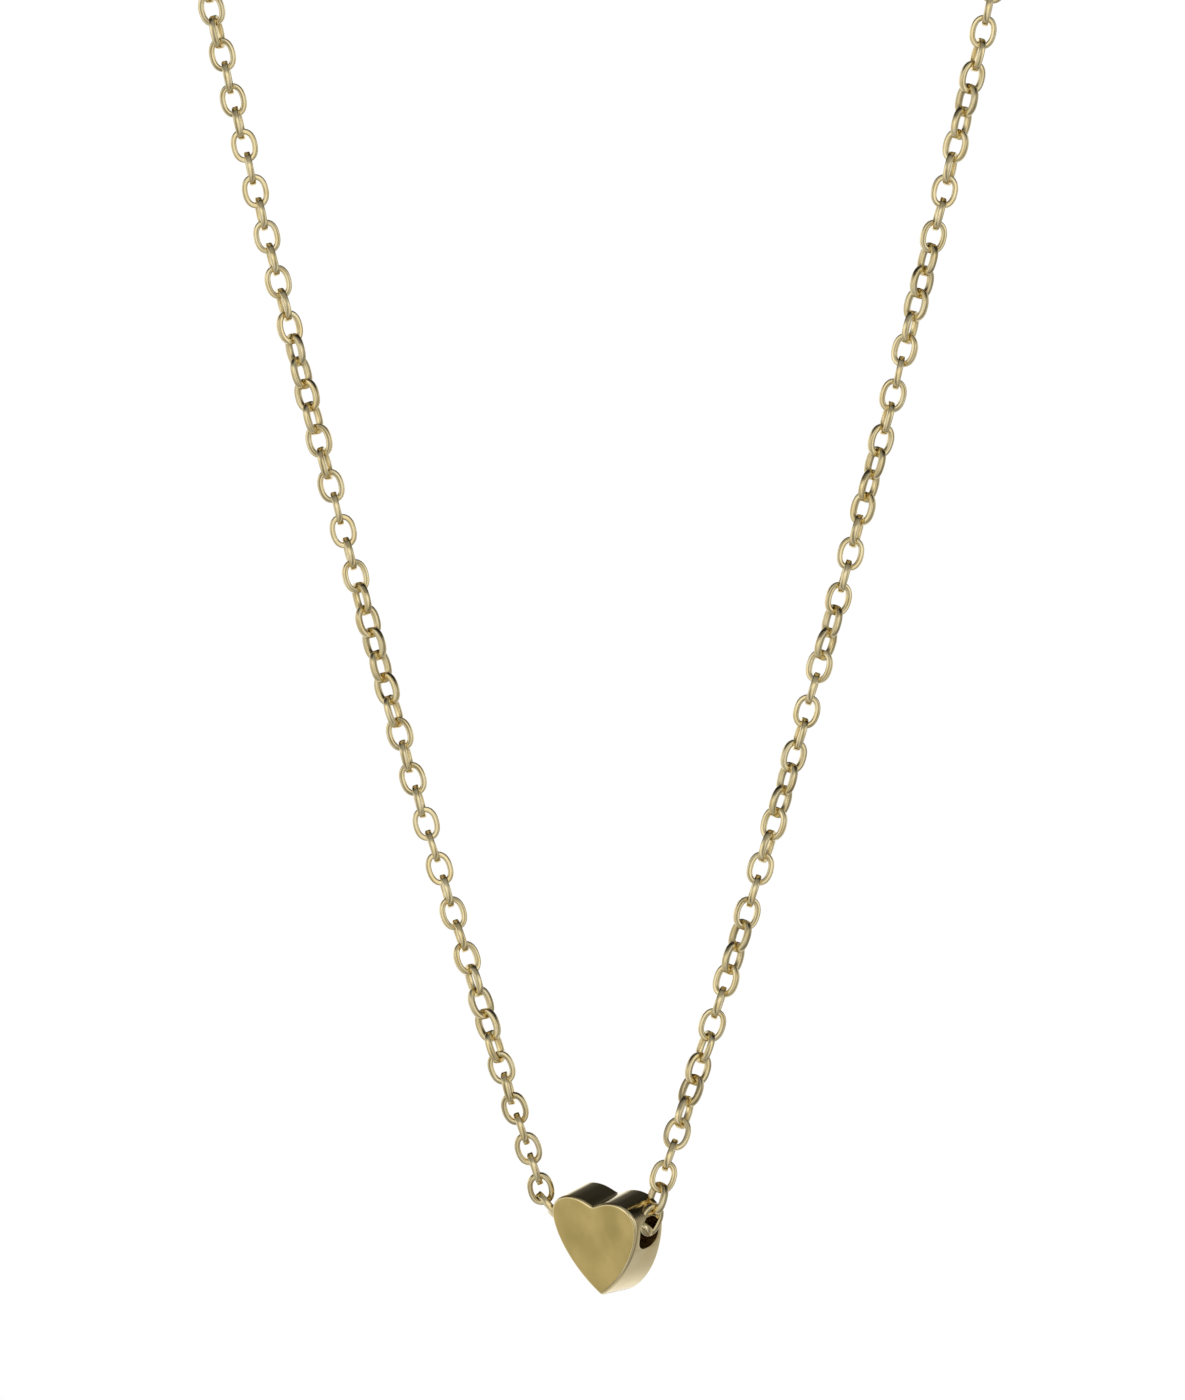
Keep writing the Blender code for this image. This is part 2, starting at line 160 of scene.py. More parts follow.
LEVER = [
    (-3.6, -0.25), (-2.85, -0.25), (-2.5, 0.3), (-1.9, 1.0), (-0.6, 1.55), (1.2, 1.8),
    (2.6, 1.85), (2.62, 2.3), (1.2, 2.28), (-0.6, 2.1), (-1.7, 1.9), (-2.1, 2.5),
    (-2.7, 2.3), (-3.4, 1.2), (-3.75, 0.5),
]

# The camera looks straight at the loop's plane through a long lens.
VIEW_HEIGHT = 107.7
VIEW_CENTRE_X = -0.58
VIEW_CENTRE_Z = 45.8
VIEW_DISTANCE = 1400.0
SENSOR = 36.0


# The floor, and how far it lies below the heart.
FLOOR_RADIUS = 250.0
FLOOR_DROP = 30.0
FLOOR_SHADE = 0.9

# The room that the metal reflects: brightness from the floor up to the ceiling, and
# round the walls from behind the necklace by its right, front and left sides.
FRONT_HAZE = 0.7
CEILING = [(0.0, 0.6), (0.15, 0.7), (0.28, 0.9), (0.42, 1.0), (0.58, 1.2), (0.66, 0.8),
           (0.75, 0.10), (0.88, 0.03), (1.0, 0.03)]
WALLS = [(0.0, 1.15), (0.05, 1.05), (0.10, 0.72), (0.17, 0.5), (0.24, 0.25), (0.31, 0.35),
         (0.36, 1.2), (0.40, 0.5), (0.44, 0.22), (0.475, 0.95), (0.525, 1.0), (0.56, 0.22),
         (0.60, 0.4), (0.65, 1.2), (0.69, 0.75), (0.75, 0.60), (0.84, 0.7), (0.92, 1.1),
         (1.0, 1.15)]


# Materials.


def shader_material(name, roughness, colour):
    made = bpy.data.materials.new(name)
    made.use_nodes = True
    tree = made.node_tree
    shader = tree.nodes["Principled BSDF"]
    shader.inputs["Base Color"].default_value = (*colour, 1.0)
    shader.inputs["Metallic"].default_value = 1.0
    shader.inputs["Roughness"].default_value = roughness
    return made, tree, shader


def noise(tree, scale, detail, stretch=(1, 1, 1)):
    """Object-space noise, so it moves with the piece."""
    where = tree.nodes.new("ShaderNodeTexCoord")
    mapping = tree.nodes.new("ShaderNodeMapping")
    mapping.inputs["Scale"].default_value = stretch
    made = tree.nodes.new("ShaderNodeTexNoise")
    made.inputs["Scale"].default_value = scale
    made.inputs["Detail"].default_value = detail
    tree.links.new(where.outputs["Object"], mapping.inputs["Vector"])
    tree.links.new(mapping.outputs["Vector"], made.inputs["Vector"])
    return made


def vary_roughness(tree, shader, source, low, high):
    spread = tree.nodes.new("ShaderNodeMapRange")
    spread.inputs["From Min"].default_value = 0.3
    spread.inputs["From Max"].default_value = 0.7
    spread.inputs["To Min"].default_value = low
    spread.inputs["To Max"].default_value = high
    tree.links.new(source.outputs["Fac"], spread.inputs["Value"])
    tree.links.new(spread.outputs["Result"], shader.inputs["Roughness"])


def vary_colour(tree, shader, source, dark, light):
    ramp = tree.nodes.new("ShaderNodeValToRGB")
    ramp.color_ramp.elements[0].position = 0.32
    ramp.color_ramp.elements[0].color = (*dark, 1.0)
    ramp.color_ramp.elements[1].position = 0.68
    ramp.color_ramp.elements[1].color = (*light, 1.0)
    tree.links.new(source.outputs["Fac"], ramp.inputs["Fac"])
    tree.links.new(ramp.outputs["Color"], shader.inputs["Base Color"])


def bump(tree, shader, source, strength, distance):
    made = tree.nodes.new("ShaderNodeBump")
    made.inputs["Strength"].default_value = strength
    made.inputs["Distance"].default_value = distance
    tree.links.new(source.outputs["Fac"], made.inputs["Height"])
    tree.links.new(made.outputs["Normal"], shader.inputs["Normal"])


def chain_gold():
    """Bright drawn wire: pale gold with faint draw marks and small dull patches."""
    made, tree, shader = shader_material("chain_gold", 0.2, (0.83, 0.69, 0.38))
    patches = noise(tree, 900.0, 3.0)
    vary_roughness(tree, shader, patches, 0.11, 0.26)
    vary_colour(tree, shader, patches, (0.76, 0.61, 0.31), (0.90, 0.78, 0.48))
    bump(tree, shader, noise(tree, 2600.0, 2.0), 0.15, 0.00003)
    return made


def satin_gold():
    """The heart's flat faces: a fine satin grain with soft blotches."""
    made, tree, shader = shader_material("satin_gold", 0.36, (0.78, 0.60, 0.22))
    blotches = noise(tree, 420.0, 3.0, (1.0, 1.0, 0.7))
    vary_colour(tree, shader, blotches, (0.62, 0.48, 0.17), (0.84, 0.65, 0.25))
    grain = noise(tree, 9000.0, 3.0, (1.0, 1.0, 0.25))
    vary_roughness(tree, shader, grain, 0.30, 0.44)
    bump(tree, shader, grain, 0.12, 0.00002)
    return made


def polished_gold():
    """The heart's sides, mirror polished with hairline marks from buffing."""
    made, tree, shader = shader_material("polished_gold", 0.12, (0.84, 0.69, 0.38))
    hairlines = noise(tree, 3000.0, 2.0, (1.0, 1.0, 0.15))
    vary_roughness(tree, shader, hairlines, 0.08, 0.17)
    vary_colour(tree, shader, noise(tree, 500.0, 2.0), (0.80, 0.65, 0.34), (0.88, 0.74, 0.43))
    bump(tree, shader, hairlines, 0.05, 0.00002)
    return made


def channel_gold_painted_shade():
    """Inside the channel: rougher metal where the polishing wheel didn't reach, and a colour
    darkened to deep brown, which is painted shade in the bored recess.
    """
    made, tree, shader = shader_material("channel_gold_painted_shade", 0.5, (0.42, 0.27, 0.10))
    # The dark brown ramp below is painted shade for the inside of the bore.
    drilled = noise(tree, 2500.0, 4.0)
    vary_roughness(tree, shader, drilled, 0.42, 0.62)
    vary_colour(tree, shader, drilled, (0.30, 0.18, 0.06), (0.48, 0.31, 0.12))
    bump(tree, shader, drilled, 0.4, 0.00004)
    return made


def clasp_gold():
    """Cast and tumbled gold, a little softer than the chain."""
    made, tree, shader = shader_material("clasp_gold", 0.22, (0.78, 0.62, 0.33))
    patches = noise(tree, 700.0, 3.0)
    vary_roughness(tree, shader, patches, 0.16, 0.34)
    vary_colour(tree, shader, patches, (0.72, 0.56, 0.28), (0.84, 0.69, 0.40))
    bump(tree, shader, noise(tree, 1500.0, 3.0), 0.25, 0.00004)
    return made


def plain(name, shade, roughness=0.9):
    """A studio surface with a faint paper grain."""
    made, tree, shader = shader_material(name, roughness, (shade, shade, shade))
    shader.inputs["Metallic"].default_value = 0.0
    shader.inputs["Specular IOR Level"].default_value = 0.2
    bump(tree, shader, noise(tree, 220.0, 3.0), 0.1, 0.0004)
    return made


# The route of the chain, as in the CAD model but for the way into the heart.


def catenary(s):
    """Half width and height above the heart's tip, s along a side from the bottom."""
    c, s0 = CATENARY, LOADED_LENGTH
    x = BOTTOM_HALF_WIDTH + c * (math.asinh((s + s0) / c) - math.asinh(s0 / c))
    z = BOTTOM_HEIGHT + math.hypot(c, s + s0) - math.hypot(c, s0)
    return x, z


def lean(s):
    """How far a side leans from upright at s."""
    return math.atan2(CATENARY, s + LOADED_LENGTH)


def nape_join():
    """Where the hanging side meets the nape arc without a corner."""
    low, high = 40.0, 400.0
    for _ in range(60):
        s = (low + high) / 2
        if catenary(s)[0] < NAPE_RADIUS * math.cos(lean(s)):
            low = s
        else:
            high = s
    return low


JOIN = nape_join()
NAPE_CENTRE = catenary(JOIN)[1] + NAPE_RADIUS * math.sin(lean(JOIN))
TOP = NAPE_CENTRE + NAPE_RADIUS
FIRST_LEVEL = MOUTH_LINKS * PITCH - MOUTH_LEAD
LAST_LEVEL = FIRST_LEVEL + (LEVELS - 1) * RUN_LINKS * PITCH
NAPE_LENGTH = JOIN - LAST_LEVEL + NAPE_RADIUS * (math.pi / 2 + lean(JOIN))


def place(x, y, z):
    """A point given above the heart's tip, in the object's frame and in metres."""
    return Vector((x, y, z - TOP + LINK_WIDTH / 2)) * MM


def height_of(point):
    """Millimetres above the heart's tip."""
    return point.z / MM + TOP - LINK_WIDTH / 2


def side_point(side, s):
    x, z = catenary(s)
    return place(side * x, 0.0, z)


def nape_point(side, t):
    """t along the chain from the top hinge towards the middle of the nape."""
    s = LAST_LEVEL + t
    if s < JOIN:
        return side_point(side, s)
    turned = (s - JOIN) / NAPE_RADIUS - lean(JOIN)
    return place(
        side * NAPE_RADIUS * math.cos(turned),
        0.0,
        NAPE_CENTRE + NAPE_RADIUS * math.sin(turned),
    )


HEART_TURN = (
    Matrix.Rotation(HEART_YAW, 3, "Z")
    @ Matrix.Rotation(HEART_PITCH, 3, "X")
    @ Matrix.Rotation(HEART_ROLL, 3, "Y")
)
CHANNEL_AXIS = HEART_TURN @ Vector((1, 0, 0))
HEART_UP = HEART_TURN @ Vector((0, 0, 1))
CHANNEL_CENTRE = place(
    HEART_TIP_X + HEART_UP.x * CHANNEL_HEIGHT,
    0.0,
    HEART_TIP_Z + HEART_UP.z * CHANNEL_HEIGHT,
)
CLASP_CENTRE = place(0.0, 0.0, TOP)


def mouth(side):
    """Where the chain passes out of the heart, which hangs by its channel's roof."""
    reach = (side * CHANNEL_LINKS * PITCH / 2 + CHANNEL_SHIFT) * MM
    return CHANNEL_CENTRE + CHANNEL_AXIS * reach + HEART_UP * CHANNEL_LIFT * MM


def stations(points, count):
    """count + 1 points spread evenly along a line of points."""
    steps = [(b - a).length for a, b in zip(points, points[1:])]
    along = np.concatenate([[0.0], np.cumsum(steps)])
    wanted = np.linspace(0.0, along[-1], count + 1)
    table = np.array([list(p) for p in points])
    columns = [np.interp(wanted, along, table[:, k]) for k in range(3)]
    return [Vector(row) for row in zip(*columns)]


def drawn_back(side, s):
    """A point of the lowest run, which leans out of the loop's plane to reach a mouth."""
    share = (s + MOUTH_LEAD) / (FIRST_LEVEL + MOUTH_LEAD)
    point = side_point(side, s)
    point.y = mouth(side).y * (1 - share) ** 2 * (1 + 2 * share)
    return point


def mouth_route(side):
    """From a mouth of the heart, round a tight bend, up to the lowest hinge."""
    start = mouth(side)
    after = drawn_back(side, BEND_END)
    uphill = (drawn_back(side, BEND_END + 1) - after).normalized()
    out = start + side * CHANNEL_AXIS * BEND_OUT[side] * MM
    back = after - uphill * BEND_UP * MM
    points = []
    for k in range(BEND_STEPS):
        t = k / BEND_STEPS
        u = 1 - t
        weights = (u**3, 3 * u * u * t, 3 * u * t * t, t**3)
        corners = zip(weights, (start, out, back, after))
        points.append(sum((w * p for w, p in corners), Vector()))
    for k in range(RISE_STEPS + 1):
        rise = (FIRST_LEVEL - BEND_END) * k / RISE_STEPS
        points.append(drawn_back(side, BEND_END + rise))
    return stations(points, MOUTH_LINKS)


# Mesh helpers.


def new_piece(name, data, body, materials):
    made = bpy.data.objects.new(name, data)
    bpy.context.scene.collection.objects.link(made)
    for item in materials:
        data.materials.append(item)
    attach(made, body)
    return made


def grid_faces(around, sides, first=0):
    """Quads of a closed ring of wire with `around` sections of `sides` points."""
    k, m = np.meshgrid(np.arange(around), np.arange(sides), indexing="ij")
    k2, m2 = (k + 1) % around, (m + 1) % sides
    quads = np.stack([k * sides + m, k * sides + m2, k2 * sides + m2, k2 * sides + m], -1)
    return quads.reshape(-1, 4) + first


def mesh_of(name, points, quads):
    data = bpy.data.meshes.new(name)
    data.from_pydata([tuple(p) for p in points], [], [tuple(q) for q in quads])
    data.polygons.foreach_set("use_smooth", [True] * len(data.polygons))
    data.update()
    return data


def wire_section():
    """The flat wire's rounded section, as (across its width, across its thickness)."""
    found = []
    for sx, sy, start in ((1, 1, 0), (-1, 1, 1), (-1, -1, 2), (1, -1, 3)):
        for m in range(3):
            a = math.pi / 2 * (start + m / 2)
            found.append(
                (
                    sx * (WIRE_WIDE / 2 - WIRE_CORNER) + WIRE_CORNER * math.cos(a),
                    sy * (WIRE_THICK / 2 - WIRE_CORNER) + WIRE_CORNER * math.sin(a),
                )
            )
    return found


LINK_STEPS = 28
LINK_SQUARENESS = 2.3


def link_template():
    """One link round the origin, its length along Z, in millimetres."""
    half_wide = LINK_WIDTH / 2 - WIRE_WIDE / 2
    half_long = LINK_LENGTH / 2 - WIRE_WIDE / 2
    power = 2 / LINK_SQUARENESS
    line = []
    for k in range(LINK_STEPS):
        a = 2 * math.pi * k / LINK_STEPS
        x, z = math.cos(a), math.sin(a)
        x = half_wide * math.copysign(abs(x) ** power, x)
        z = half_long * math.copysign(abs(z) ** power, z)
        line.append(Vector((x, z)))
    points = []
    for k, centre in enumerate(line):
        tangent = (line[(k + 1) % LINK_STEPS] - line[k - 1]).normalized()
        out = Vector((tangent.y, -tangent.x))
        for across, thick in wire_section():
            spot = centre + out * across
            points.append((spot.x, thick, spot.y))
    return np.array(points)


TEMPLATE = link_template()
SECTION_POINTS = len(wire_section())


def links_mesh(name, points, turns):
    """Links from contact to contact along points, each turned about its own length.

    Each link also sways a little about its contacts, as loose links do.
    """
    verts, quads = [], []
    sway = random.Random(name)
    for k, (low, high) in enumerate(zip(points, points[1:])):
        along = (high - low).normalized()
        lean_by = math.radians(sway.uniform(-LINK_SWAY, LINK_SWAY) / 2)
        along = Matrix.Rotation(lean_by, 3, along.orthogonal()) @ along
        turn = turns[k] + math.radians(sway.uniform(-LINK_SWAY, LINK_SWAY))
        across = Matrix.Rotation(turn, 3, along) @ along.cross(Vector((0, 1, 0)))
        across.normalize()
        thin = along.cross(across)
        middle = (low + high) / 2
        basis = np.array([list(across), list(thin), list(along)]) * MM
        verts.append(TEMPLATE @ basis + np.array(list(middle)))
        quads.append(grid_faces(LINK_STEPS, SECTION_POINTS, k * len(TEMPLATE)))
    return mesh_of(name, np.concatenate(verts), np.concatenate(quads))


def twist_at(side, height):
    table = TWIST[side]
    heights = [row[0] for row in table]
    turns = [row[1] for row in table]
    return math.radians(float(np.interp(height, heights, turns)))


def run_turns(side, points, first):
    """The turn of each link: the side's slow twist plus a quarter turn every second."""
    turns = []
    for k, (a, b) in enumerate(zip(points, points[1:])):
        height = height_of((a + b) / 2)
        turns.append(twist_at(side, height) + math.pi / 2 * ((first + k) % 2))
    return turns


# The chain.


def nape_pieces(side, word, stop, metal):
    """The links over the nape on one side, and how many they are."""
    reach = NAPE_LENGTH - stop
    total = round(reach / PITCH)
    each = total // NAPE_RUNS
    for k in range(NAPE_RUNS):
        first = k * each
        last = total if k == NAPE_RUNS - 1 else first + each
        numbers = range(first, last + 1)
        route = [nape_point(side, reach * (1 - n / total)) for n in numbers]
        ring_turns = [math.pi / 2 * (n % 2) for n in numbers]
        name = f"{word}_nape_links_{k + 1}"
        piece = new_piece(name, links_mesh(name, route, ring_turns), "nape", [metal])
        weighted(piece)
        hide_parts(f"{word}_nape_run_{k + 1}")
    return total


def side_pieces(side, word, number, metal):
    """The runs down one side, whose first link follows `number` others."""
    for level in range(LEVELS):
        s = LAST_LEVEL - level * RUN_LINKS * PITCH
        if level < LEVELS - 1:
            route = [side_point(side, s - k * PITCH) for k in range(RUN_LINKS + 1)]
        else:
            route = mouth_route(side)[::-1]
        turns = run_turns(side, route, number + level * RUN_LINKS)
        name = f"{word}_links_{level + 1}"
        data = links_mesh(name, route, turns)
        piece = new_piece(name, data, f"{word}_level_{level + 1}", [metal])
        weighted(piece)
        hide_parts(f"{word}_run_{level + 1}")


def channel_pieces(metal):
    ends = [mouth(-1).lerp(mouth(1), k / CHANNEL_LINKS) for k in range(CHANNEL_LINKS + 1)]
    for k in range(CHANNEL_LINKS):
        name = f"threaded_link_{k + 1}"
        turn = math.radians(CHANNEL_TURN + 90 * k)
        data = links_mesh(name, ends[k : k + 2], [turn])
        piece = new_piece(name, data, "channel_chain", [metal])
        weighted(piece)
        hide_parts(f"channel_link_{k + 1}")


# The heart.


def bezier(a, b, c, d, count):
    """Points along a cubic curve, without its last one."""
    found = []
    for k in range(count):
        t = k / count
        u = 1 - t
        weights = (u**3, 3 * u * u * t, 3 * u * t * t, t**3)
        found.append(
            tuple(sum(w * p[i] for w, p in zip(weights, (a, b, c, d))) for i in (0, 1))
        )
    return found


def heart_outline(under, tip):
    """An outline from the notch round the right lobe to the tip and back.

    under is the point that the flank's curve is drawn towards below its widest place.
    """
    wide, top, lobe_x = HEART_HALF_WIDTH, HEART_TOP, HEART_LOBE
    notch = (0.0, HEART_NOTCH)
    lobe = (lobe_x, top)
    side = (wide, HEART_SIDE)
    right = bezier(notch, (0.45, HEART_NOTCH + 0.08), (lobe_x - 1.0, top), lobe, 12)
    right += bezier(lobe, (lobe_x + 1.1, top), (wide, HEART_SIDE + 1.1), side, 18)
    right += bezier(side, (wide, HEART_SIDE - 1.6), under, tip, 28)
    right.append(tip)
    left = [(-x, z) for x, z in right[1:]]
    return right[::-1] + left


def prism(outline, thickness, back_outline=None):
    """A flat outline in XZ, in millimetres, made solid along Y to itself or another."""
    mesh = bmesh.new()
    near, far = -thickness / 2 * MM, thickness / 2 * MM
    front = [mesh.verts.new((x * MM, near, z * MM)) for x, z in outline]
    back = [mesh.verts.new((x * MM, far, z * MM)) for x, z in back_outline or outline]
    mesh.faces.new(front)
    mesh.faces.new(back[::-1])
    for k in range(len(outline)):
        n = (k + 1) % len(outline)
        mesh.faces.new((front[n], front[k], back[k], back[n]))
    bmesh.ops.recalc_face_normals(mesh, faces=mesh.faces[:])
    return mesh


def soften_rims(mesh, width, segments):
    rims = [e for e in mesh.edges if abs(e.verts[0].co.y - e.verts[1].co.y) < 1e-7]
    bmesh.ops.bevel(
        mesh,
        geom=rims,
        offset=width * MM,
        segments=segments,
        profile=0.5,
        affect="EDGES",
    )


def to_data(mesh, name):
    bmesh.ops.recalc_face_normals(mesh, faces=mesh.faces[:])
    data = bpy.data.meshes.new(name)
    mesh.to_mesh(data)
    mesh.free()
    return data


def helper(name, mesh, material=None):
    """An object that only shapes others and is removed afterwards."""
    data = to_data(mesh, name)
    if material is not None:
        data.materials.append(material)
    made = bpy.data.objects.new(name, data)
    bpy.context.scene.collection.objects.link(made)
    return made


def boolean(item, operation, other):
    made = item.modifiers.new(other.name, "BOOLEAN")
    made.operation = operation
    made.solver = "EXACT"
    made.object = other
    made.material_mode = "TRANSFER"


def settled(item, helpers, name):
    """The mesh after its modifiers, shaded smooth."""
    bpy.context.view_layer.update()
    graph = bpy.context.evaluated_depsgraph_get()
    data = bpy.data.meshes.new_from_object(item.evaluated_get(graph))
    data.name = name
    for other in [item, *helpers]:
        bpy.data.objects.remove(other)
    data.polygons.foreach_set("use_smooth", [True] * len(data.polygons))
    return data


def weighted(piece, creased=False):
    """Keeps flat faces looking flat, and on a cut piece its square edges crisp."""
    if creased:
        piece.data.set_sharp_from_angle(angle=math.radians(CREASE))
    made = piece.modifiers.new("flat faces stay flat", "WEIGHTED_NORMAL")
    made.weight = 100
    made.keep_sharp = creased


def rounded_slot(wide, tall, corner, each):
    """A rounded rectangle, across and up."""
    found = []
    for k, (sx, sz) in enumerate(((1, 1), (-1, 1), (-1, -1), (1, -1))):
        for m in range(each + 1):
            a = math.pi / 2 * (k + m / each)
            found.append(
                (
                    sx * (wide / 2 - corner) + corner * math.cos(a),
                    sz * (tall / 2 - corner) + corner * math.sin(a),
                )
            )
    return found


def heart_piece(satin, polished, dull_and_shaded):
    """The bead: satin faces, polished sides, and the channel bored across it, rougher inside
    and darkened with painted shade.
    """
    front = heart_outline(FRONT_FLANK, FRONT_TIP)
    back = heart_outline(BACK_FLANK, BACK_TIP)
    mesh = prism(front, HEART_THICKNESS, back)
    soften_rims(mesh, HEART_EDGE, HEART_EDGE_STEPS)
    for face in mesh.faces:
        face.material_index = 0 if abs(face.normal.y) > FLAT_FACE else 1
    down = Matrix.Translation((0, 0, -CHANNEL_HEIGHT * MM))
    place_at = Matrix.Translation(CHANNEL_CENTRE) @ HEART_TURN.to_4x4()
    bmesh.ops.transform(mesh, matrix=place_at @ down, verts=mesh.verts[:])
    solid = helper("heart_solid", mesh, satin)
    solid.data.materials.append(polished)
    outline = rounded_slot(
        CHANNEL_WIDE, CHANNEL_TALL, CHANNEL_CORNER, CHANNEL_CORNER_STEPS
    )
    slot = prism(outline, CHANNEL_CUT)
    across = Matrix.Rotation(-math.pi / 2, 4, "Z")
    bmesh.ops.transform(slot, matrix=place_at @ across, verts=slot.verts[:])
    # The cutter hands its material, dull and darkened with painted shade, to the channel's
    # walls.
    cutter = helper("heart_channel", slot, dull_and_shaded)
    boolean(solid, "DIFFERENCE", cutter)
    data = settled(solid, [cutter], "heart")
    piece = new_piece("heart", data, "heart", [])
    edge = piece.modifiers.new("mouth edge", "BEVEL")
    edge.width = MOUTH_EDGE * MM
    edge.segments = MOUTH_EDGE_STEPS
    edge.limit_method = "ANGLE"
    edge.angle_limit = math.radians(MOUTH_EDGE_ANGLE)
    edge.material = 1
    weighted(piece)
    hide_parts("heart_bead")


# The clasp and its rings.


def smoothed(outline, rounds=2):
    """An outline with its corners cut to a curve."""
    for _ in range(rounds):
        cut = []
        for k, (x, z) in enumerate(outline):
            nx, nz = outline[(k + 1) % len(outline)]
            cut.append((0.75 * x + 0.25 * nx, 0.75 * z + 0.25 * nz))
            cut.append((0.25 * x + 0.75 * nx, 0.25 * z + 0.75 * nz))
        outline = cut
    return outline


def cylinder(name, radius, length, x, z, sides=32, rim=0.0):
    """A round bar along Y, placed from the middle of the nape."""
    outline = [
        (
            radius * math.cos(2 * math.pi * k / sides),
            radius * math.sin(2 * math.pi * k / sides),
        )
        for k in range(sides)
    ]
    mesh = prism(outline, length)
    if rim:
        soften_rims(mesh, rim, 3)
    spot = CLASP_CENTRE + Vector((x, 0, z)) * MM
    bmesh.ops.translate(mesh, vec=spot, verts=mesh.verts[:])
    return helper(name, mesh)


def flat_part(name, outline, thickness, rim=0.0):
    mesh = prism(outline, thickness)
    if rim:
        soften_rims(mesh, rim, 4)
    bmesh.ops.translate(mesh, vec=CLASP_CENTRE, verts=mesh.verts[:])
    return helper(name, mesh)


def clasp_pieces(metal):
    """The claw with its eye, the lever and the pin."""
    claw = flat_part("claw_solid", smoothed(CLAW), CLASP_THICKNESS, CLAW_RIM)
    boss = cylinder("eye_boss", EYE_RADIUS, EYE_THICKNESS, EYE_X, EYE_Z, 32, EYE_RIM)
    hole = cylinder("eye_hole", EYE_HOLE, HOLE_CUT, EYE_X, EYE_Z)
    slot = flat_part("lever_slot", LEVER_SLOT, LEVER_THICKNESS + SLOT_PLAY)
    bore = cylinder("pin_bore", PIN_RADIUS + PIN_PLAY, HOLE_CUT, PIVOT_X, PIVOT_Z)
    boolean(claw, "UNION", boss)
    for other in (hole, slot, bore):
        boolean(claw, "DIFFERENCE", other)
    data = settled(claw, [boss, hole, slot, bore], "claw")
    data.materials.clear()
    piece = new_piece("claw", data, "nape", [metal])
    weighted(piece, creased=True)
    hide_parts("clasp_claw")

    lever = flat_part("lever_solid", smoothed(LEVER), LEVER_THICKNESS, LEVER_RIM)
    bore = cylinder("lever_bore", PIN_RADIUS + PIN_PLAY, HOLE_CUT, PIVOT_X, PIVOT_Z)
    boolean(lever, "DIFFERENCE", bore)
    data = settled(lever, [bore], "lever")
    data.materials.clear()
    piece = new_piece("lever", data, "lever", [metal])
    weighted(piece, creased=True)
    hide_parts("clasp_lever")

    pin = cylinder("pin_solid", PIN_RADIUS, CLASP_THICKNESS, PIVOT_X, PIVOT_Z, 24, PIN_RIM)
    data = settled(pin, [], "pin")
    piece = new_piece("pin", data, "nape", [metal])
    weighted(piece, creased=True)
    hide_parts("clasp_pin")


def ring_piece(name, node, radius, x, z, metal):
    """A closed ring of round wire lying flat, placed from the middle of the nape."""
    points = []
    for k in range(RING_STEPS):
        a = 2 * math.pi * k / RING_STEPS
        for m in range(RING_SIDES):
            b = 2 * math.pi * m / RING_SIDES
            r = radius + RING_WIRE / 2 * math.cos(b)
            spot = Vector((r * math.cos(a), r * math.sin(a), RING_WIRE / 2 * math.sin(b)))
            points.append(CLASP_CENTRE + (spot + Vector((x, 0, z))) * MM)
    data = mesh_of(name, points, grid_faces(RING_STEPS, RING_SIDES))
    piece = new_piece(name, data, "nape", [metal])
    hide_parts(node)


# The studio.


def floor():
    """A plain pale floor, which the metal doesn't reflect: it reflects the room instead."""
    mesh = bmesh.new()
    bmesh.ops.create_circle(mesh, cap_ends=True, segments=96, radius=FLOOR_RADIUS * MM)
    data = to_data(mesh, "floor")
    data.materials.append(plain("floor_paper", FLOOR_SHADE))
    made = bpy.data.objects.new("floor", data)
    bpy.context.scene.collection.objects.link(made)
    made.location = (0, 0, cad_box[0][2] - FLOOR_DROP * MM)
    made.visible_glossy = False


def ramp(tree, source, stops):
    """A grey ramp through (place, shade) stops."""
    made = tree.nodes.new("ShaderNodeValToRGB")
    line = made.color_ramp.elements
    for spot, shade in stops[1:-1]:
        line.new(spot).color = (shade, shade, shade, 1.0)
    for end, (spot, shade) in ((line[0], stops[0]), (line[-1], stops[-1])):
        end.position = spot
        end.color = (shade, shade, shade, 1.0)
    tree.links.new(source, made.inputs["Fac"])
    return made.outputs["Color"]


def arithmetic(tree, operation, first, second):
    """A math node on two inputs, each a number or another node's output."""
    made = tree.nodes.new("ShaderNodeMath")
    made.operation = operation
    for socket, value in zip(made.inputs, (first, second)):
        if isinstance(value, float):
            socket.default_value = value
        else:
            tree.links.new(value, socket)
    return made.outputs["Value"]


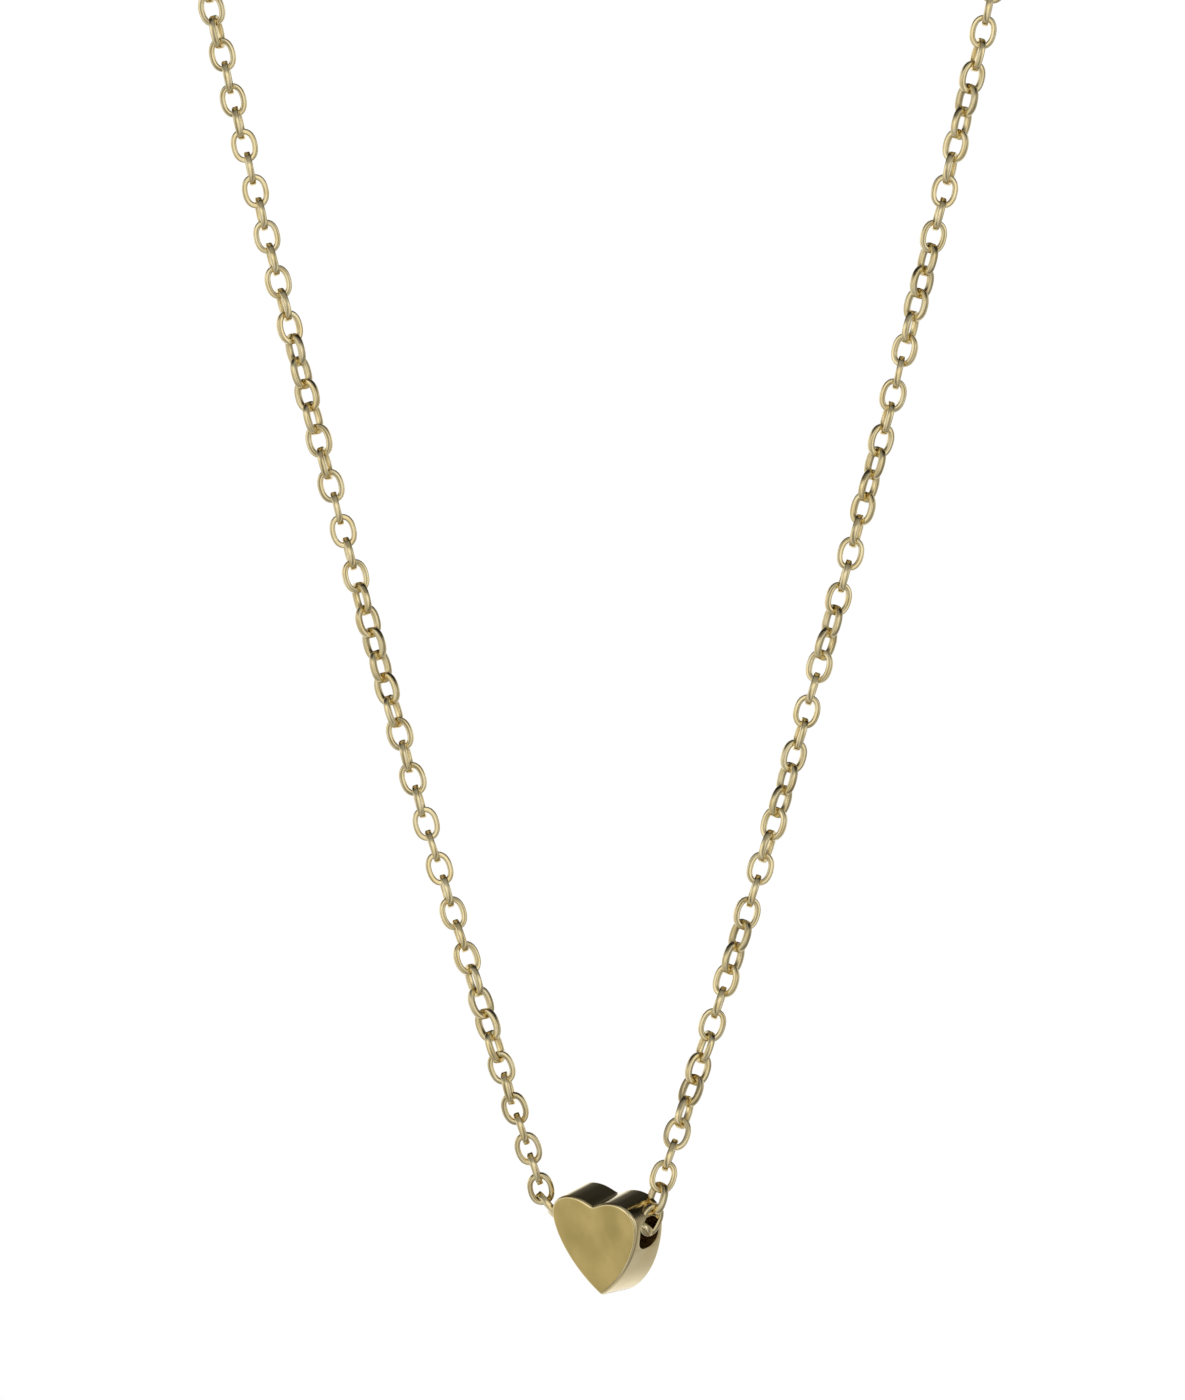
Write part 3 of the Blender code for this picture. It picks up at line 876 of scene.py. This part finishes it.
def world():
    """A room that the metal reflects: dark ceiling, softly shaded walls, a hazy front.

    The camera and matt surfaces see plain white instead.
    """
    made = bpy.data.worlds.new("studio")
    bpy.context.scene.world = made
    made.use_nodes = True
    tree = made.node_tree
    where = tree.nodes.new("ShaderNodeTexCoord")
    split = tree.nodes.new("ShaderNodeSeparateXYZ")
    tree.links.new(where.outputs["Generated"], split.inputs["Vector"])
    height = arithmetic(tree, "MULTIPLY_ADD", split.outputs["Z"], 0.5)
    height.node.inputs[2].default_value = 0.5
    turned = arithmetic(tree, "ARCTAN2", split.outputs["X"], split.outputs["Y"])
    turned = arithmetic(tree, "DIVIDE", turned, 2 * math.pi)
    turned = arithmetic(tree, "FRACT", arithmetic(tree, "ADD", turned, 1.0), 0.0)
    shades = tree.nodes.new("ShaderNodeMix")
    shades.data_type = "RGBA"
    shades.blend_type = "MULTIPLY"
    shades.inputs["Factor"].default_value = 1.0
    tree.links.new(ramp(tree, height, CEILING), shades.inputs["A"])
    tree.links.new(ramp(tree, turned, WALLS), shades.inputs["B"])
    ahead = arithmetic(tree, "MULTIPLY", split.outputs["Y"], -FRONT_HAZE)
    ahead = arithmetic(tree, "MAXIMUM", ahead, 0.0)
    above = arithmetic(tree, "MAXIMUM", split.outputs["Z"], 0.0)
    haze = arithmetic(tree, "MULTIPLY", ahead, above)
    hazed = tree.nodes.new("ShaderNodeMix")
    hazed.data_type = "RGBA"
    hazed.blend_type = "ADD"
    hazed.inputs["Factor"].default_value = 1.0
    tree.links.new(shades.outputs["Result"], hazed.inputs["A"])
    tree.links.new(haze, hazed.inputs["B"])
    seen = tree.nodes.new("ShaderNodeLightPath")
    pick = tree.nodes.new("ShaderNodeMix")
    pick.data_type = "RGBA"
    pick.inputs["B"].default_value = (1.0, 1.0, 1.0, 1.0)
    white = arithmetic(
        tree, "MAXIMUM", seen.outputs["Is Camera Ray"], seen.outputs["Is Diffuse Ray"]
    )
    tree.links.new(white, pick.inputs["Factor"])
    tree.links.new(hazed.outputs["Result"], pick.inputs["A"])
    tree.links.new(pick.outputs["Result"], tree.nodes["Background"].inputs["Color"])


def camera():
    data = bpy.data.cameras.new("camera")
    data.sensor_fit = "VERTICAL"
    data.sensor_height = SENSOR
    data.lens = SENSOR * VIEW_DISTANCE / VIEW_HEIGHT
    data.clip_start = 0.01
    data.clip_end = 20.0
    made = bpy.data.objects.new("camera", data)
    bpy.context.scene.collection.objects.link(made)
    centre = place(VIEW_CENTRE_X, 0.0, VIEW_CENTRE_Z)
    made.location = centre + Vector((0, -VIEW_DISTANCE * MM, 0))
    made.rotation_euler = (math.pi / 2, 0, 0)
    bpy.context.scene.camera = made


def studio():
    world()
    floor()
    camera()
    bpy.context.scene.view_settings.view_transform = "Standard"


def main():
    chain = chain_gold()
    clasp = clasp_gold()
    number = nape_pieces(-1, "left", LEFT_STOP, chain)
    side_pieces(-1, "left", number, chain)
    number = nape_pieces(1, "right", RIGHT_STOP, chain)
    side_pieces(1, "right", number, chain)
    channel_pieces(chain)
    heart_piece(satin_gold(), polished_gold(), channel_gold_painted_shade())
    clasp_pieces(clasp)
    ring_piece("eye_ring", "jump_ring", JUMP_RING_RADIUS, JUMP_RING_X, EYE_Z, clasp)
    ring_piece("catch_ring", "end_ring", END_RING_RADIUS, END_RING_X, END_RING_Z, clasp)
    studio()


main()
